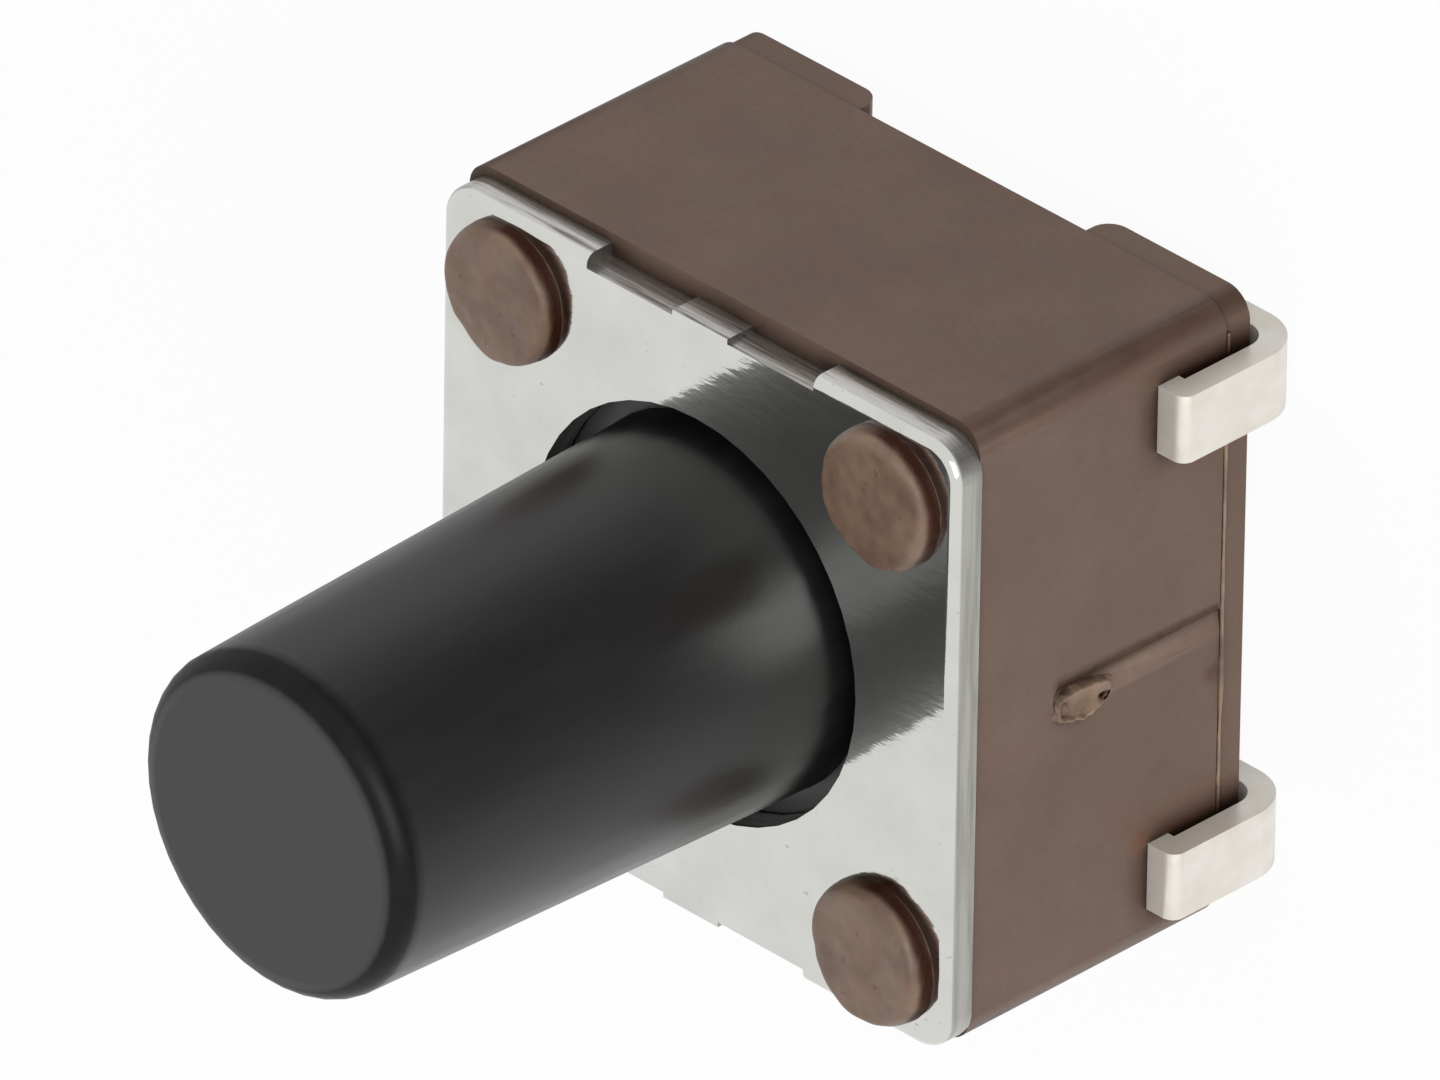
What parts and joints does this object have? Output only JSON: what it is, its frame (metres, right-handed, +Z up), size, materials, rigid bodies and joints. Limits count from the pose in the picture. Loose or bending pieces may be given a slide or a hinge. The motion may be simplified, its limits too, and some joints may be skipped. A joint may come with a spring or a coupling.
{
  "type": "tactile push button switch",
  "caption": "Square surface-mount tactile switch with a long tapered stem, a riveted steel cover plate, a moulded housing and J-leads.",
  "frame": {"origin": "middle of the footprint, on the board's surface, where the four feet of the leads stand", "axes": "+Z up the stem, away from the board; the leads come out of the two X sides; the cover's cut-backs are on the two Y sides"},
  "size_m": [0.0066, 0.006, 0.0088],
  "materials": {
    "housing": "brown glass-filled nylon, fine moulded grain",
    "cover": "bright rolled stainless sheet with faint scratches",
    "stem": "black, satin",
    "snap_dome": "spring steel, bright",
    "contact_metal": "silver plate over brass"
  },
  "bodies": {
    "base": {"housing": "housing", "cover": "cover", "snap_dome": "snap_dome", "centre_contact": "contact_metal", "outer_contact": "contact_metal"},
    "plunger": {"stem": "stem"}
  },
  "joints": [
    {"name": "stem_press", "type": "slide", "parent": "base", "child": "plunger", "axis": [0, 0, -1], "range_m": [0, 0.00025], "stiffness_N_per_m": 6400, "deforming": ["snap_dome"]}
  ]
}
